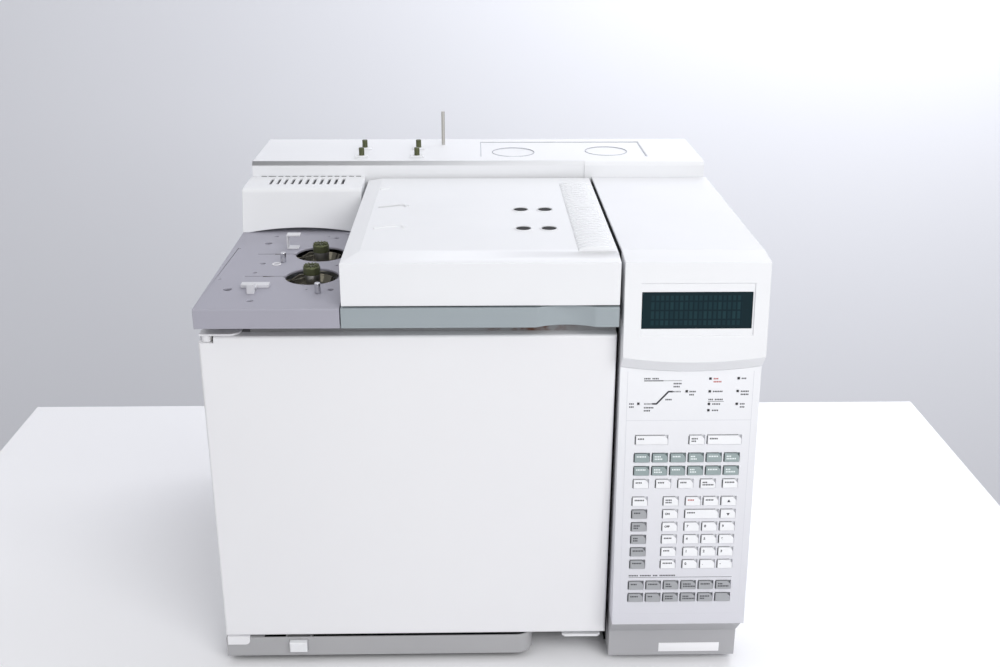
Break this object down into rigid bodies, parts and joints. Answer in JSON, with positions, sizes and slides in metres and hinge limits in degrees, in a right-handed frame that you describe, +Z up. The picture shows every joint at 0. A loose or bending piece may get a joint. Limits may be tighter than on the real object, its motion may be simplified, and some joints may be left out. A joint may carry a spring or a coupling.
{
  "type": "gas chromatograph",
  "caption": "Bench gas chromatograph: oven bay with side-hinged door, inlet deck, hinged detector lid, rear cover and a keypad column with a display.",
  "frame": {"origin": "middle of the footprint's bounding box, on the bench", "axes": "+X to the instrument's right as seen from its front, +Y to its back, +Z up"},
  "size_m": [0.585, 0.526, 0.551],
  "materials": {
    "cover_white": "cool white powder coat",
    "moulded_white": "fine-textured cool white moulding",
    "door_white": "satin white paint",
    "plinth_grey": "mid grey paint",
    "foot_grey": "mid grey moulding",
    "deck_grey": "lilac-grey moulding",
    "trim_blue_grey": "blue-grey moulding",
    "latch_white": "satin pale moulding",
    "galvanised": "galvanised sheet",
    "stainless": "stainless sheet",
    "pan_grey": "grey paint, heat stained",
    "wool": "mineral wool",
    "gasket_white": "woven glass braid",
    "motor_black": "dark cast housing",
    "heater_black": "oxidised sheath",
    "nut_olive": "olive anodised",
    "post_chrome": "bright plate",
    "foot_rubber": "black rubber",
    "socket_black": "black moulding",
    "window_dark": "dark teal tinted window",
    "module_black": "dark module case",
    "board_green": "green laminate",
    "lamp_red": "small tinted lamp",
    "core_iron": "laminated core",
    "key_white": "white key",
    "key_teal": "teal-grey key",
    "key_grey": "grey key"
  },
  "bodies": {
    "chassis": {"left_side_cover": "cover_white", "electronics_cover": "cover_white", "rear_panel": "cover_white", "rear_cover": "moulded_white", "display_head": "moulded_white", "inlet_hood": "moulded_white", "keypad_panel": "moulded_white", "door_hinge_brackets": "door_white", "front_kick_panel": "plinth_grey", "column_foot": "foot_grey", "inlet_plate": "deck_grey", "lid_trim_strip": "trim_blue_grey", "base_pan": "galvanised", "oven_shell": "galvanised", "detector_deck": "galvanised", "flow_manifold": "galvanised", "oven_liner": "stainless", "fan_shroud": "stainless", "front_inlet": "stainless", "rear_inlet": "stainless", "front_detector": "stainless", "rear_detector": "stainless", "vent_tube": "stainless", "oven_insulation": "wool", "fan_motor": "motor_black", "oven_heater": "heater_black", "vent_fittings": "nut_olive", "injector_posts": "post_chrome", "rubber_feet": "foot_rubber", "power_inlet": "socket_black", "display_window": "window_dark", "display_module": "module_black", "keypad_board": "board_green", "main_board": "board_green", "status_lamps": "lamp_red", "transformer": "core_iron"},
    "oven_door": {"door_panel": "door_white", "door_liner": "pan_grey", "door_insulation": "wool", "door_gasket": "gasket_white"},
    "latch_lever": {"door_latch": "latch_white"},
    "power_switch": {"power_button": "latch_white"},
    "lid": {"detector_lid": "moulded_white"},
    "front_nut": {"septum_nut_front": "nut_olive"},
    "rear_nut": {"septum_nut_rear": "nut_olive"},
    "fan_wheel": {"oven_fan": "stainless"},
    "exhaust_damper": {"exhaust_flap": "galvanised"},
    "intake_damper": {"intake_flap": "galvanised"},
    "key_stop_body": {"key_stop": "key_white"},
    "key_prep_run_body": {"key_prep_run": "key_white"},
    "key_start_body": {"key_start": "key_white"},
    "key_enter_body": {"key_enter": "key_white"},
    "key_up_body": {"key_up": "key_white"},
    "key_down_body": {"key_down": "key_white"},
    "channel_keys_body": {"channel_keys": "key_teal"},
    "oven_keys_body": {"oven_keys": "key_white"},
    "side_keys_body": {"side_keys": "key_grey"},
    "mode_keys_body": {"mode_keys": "key_white"},
    "number_keys_body": {"number_keys": "key_white"},
    "method_keys_body": {"method_keys": "key_grey"}
  },
  "joints": [
    {"name": "door_hinge", "type": "hinge", "parent": "chassis", "child": "oven_door", "pos_m": [-0.2845, -0.229, 0.218], "axis": [0, 0, -1], "range_deg": [0, 110]},
    {"name": "latch_pivot", "type": "hinge", "parent": "oven_door", "child": "latch_lever", "pos_m": [0.1135, -0.218, 0.031], "axis": [-1, 0, 0], "range_deg": [0, 8], "stiffness_Nm_per_rad": 0.15, "springref_deg": -11.46},
    {"name": "power_push", "type": "slide", "parent": "chassis", "child": "power_switch", "axis": [0, 1, 0], "range_m": [0, 0.004], "stiffness_N_per_m": 400, "springref_m": -0.001},
    {"name": "lid_hinge", "type": "hinge", "parent": "chassis", "child": "lid", "pos_m": [-0.0005, 0.1022, 0.48], "axis": [-1, 0, 0], "range_deg": [0, 95]},
    {"name": "front_nut_turn", "type": "hinge", "parent": "chassis", "child": "front_nut", "pos_m": [-0.185, -0.1425, 0.444], "axis": [0, 0, 1], "continuous": true},
    {"name": "rear_nut_turn", "type": "hinge", "parent": "chassis", "child": "rear_nut", "pos_m": [-0.185, -0.059, 0.444], "axis": [0, 0, 1], "continuous": true},
    {"name": "fan_spin", "type": "hinge", "parent": "chassis", "child": "fan_wheel", "pos_m": [-0.0775, 0.003, 0.21825], "axis": [0, 1, 0], "continuous": true},
    {"name": "exhaust_swing", "type": "hinge", "parent": "chassis", "child": "exhaust_damper", "pos_m": [-0.1745, 0.251, 0.3485], "axis": [-1, 0, 0], "range_deg": [0, 75]},
    {"name": "intake_swing", "type": "hinge", "parent": "chassis", "child": "intake_damper", "pos_m": [-0.1745, 0.251, 0.1385], "axis": [-1, 0, 0], "range_deg": [0, 75]},
    {"name": "key_stop_press", "type": "slide", "parent": "chassis", "child": "key_stop_body", "axis": [0, 0.9976, -0.0689], "range_m": [0, 0.0012], "stiffness_N_per_m": 400, "springref_m": -0.001},
    {"name": "key_prep_run_press", "type": "slide", "parent": "chassis", "child": "key_prep_run_body", "axis": [0, 0.9976, -0.0689], "range_m": [0, 0.0012], "stiffness_N_per_m": 400, "springref_m": -0.001},
    {"name": "key_start_press", "type": "slide", "parent": "chassis", "child": "key_start_body", "axis": [0, 0.9976, -0.0689], "range_m": [0, 0.0012], "stiffness_N_per_m": 400, "springref_m": -0.001},
    {"name": "key_enter_press", "type": "slide", "parent": "chassis", "child": "key_enter_body", "axis": [0, 0.9976, -0.0689], "range_m": [0, 0.0012], "stiffness_N_per_m": 400, "springref_m": -0.001},
    {"name": "key_up_press", "type": "slide", "parent": "chassis", "child": "key_up_body", "axis": [0, 0.9976, -0.0689], "range_m": [0, 0.0012], "stiffness_N_per_m": 400, "springref_m": -0.001},
    {"name": "key_down_press", "type": "slide", "parent": "chassis", "child": "key_down_body", "axis": [0, 0.9976, -0.0689], "range_m": [0, 0.0012], "stiffness_N_per_m": 400, "springref_m": -0.001},
    {"name": "channel_keys_press", "type": "slide", "parent": "chassis", "child": "channel_keys_body", "axis": [0, 0.9976, -0.0689], "range_m": [0, 0.0012], "stiffness_N_per_m": 400, "springref_m": -0.001},
    {"name": "oven_keys_press", "type": "slide", "parent": "chassis", "child": "oven_keys_body", "axis": [0, 0.9976, -0.0689], "range_m": [0, 0.0012], "stiffness_N_per_m": 400, "springref_m": -0.001},
    {"name": "side_keys_press", "type": "slide", "parent": "chassis", "child": "side_keys_body", "axis": [0, 0.9976, -0.0689], "range_m": [0, 0.0012], "stiffness_N_per_m": 400, "springref_m": -0.001},
    {"name": "mode_keys_press", "type": "slide", "parent": "chassis", "child": "mode_keys_body", "axis": [0, 0.9976, -0.0689], "range_m": [0, 0.0012], "stiffness_N_per_m": 400, "springref_m": -0.001},
    {"name": "number_keys_press", "type": "slide", "parent": "chassis", "child": "number_keys_body", "axis": [0, 0.9976, -0.0689], "range_m": [0, 0.0012], "stiffness_N_per_m": 400, "springref_m": -0.001},
    {"name": "method_keys_press", "type": "slide", "parent": "chassis", "child": "method_keys_body", "axis": [0, 0.9976, -0.0689], "range_m": [0, 0.0012], "stiffness_N_per_m": 400, "springref_m": -0.001}
  ],
  "couplings": [
    {"joint": "intake_swing", "follows": "exhaust_swing", "ratio": 1}
  ]
}
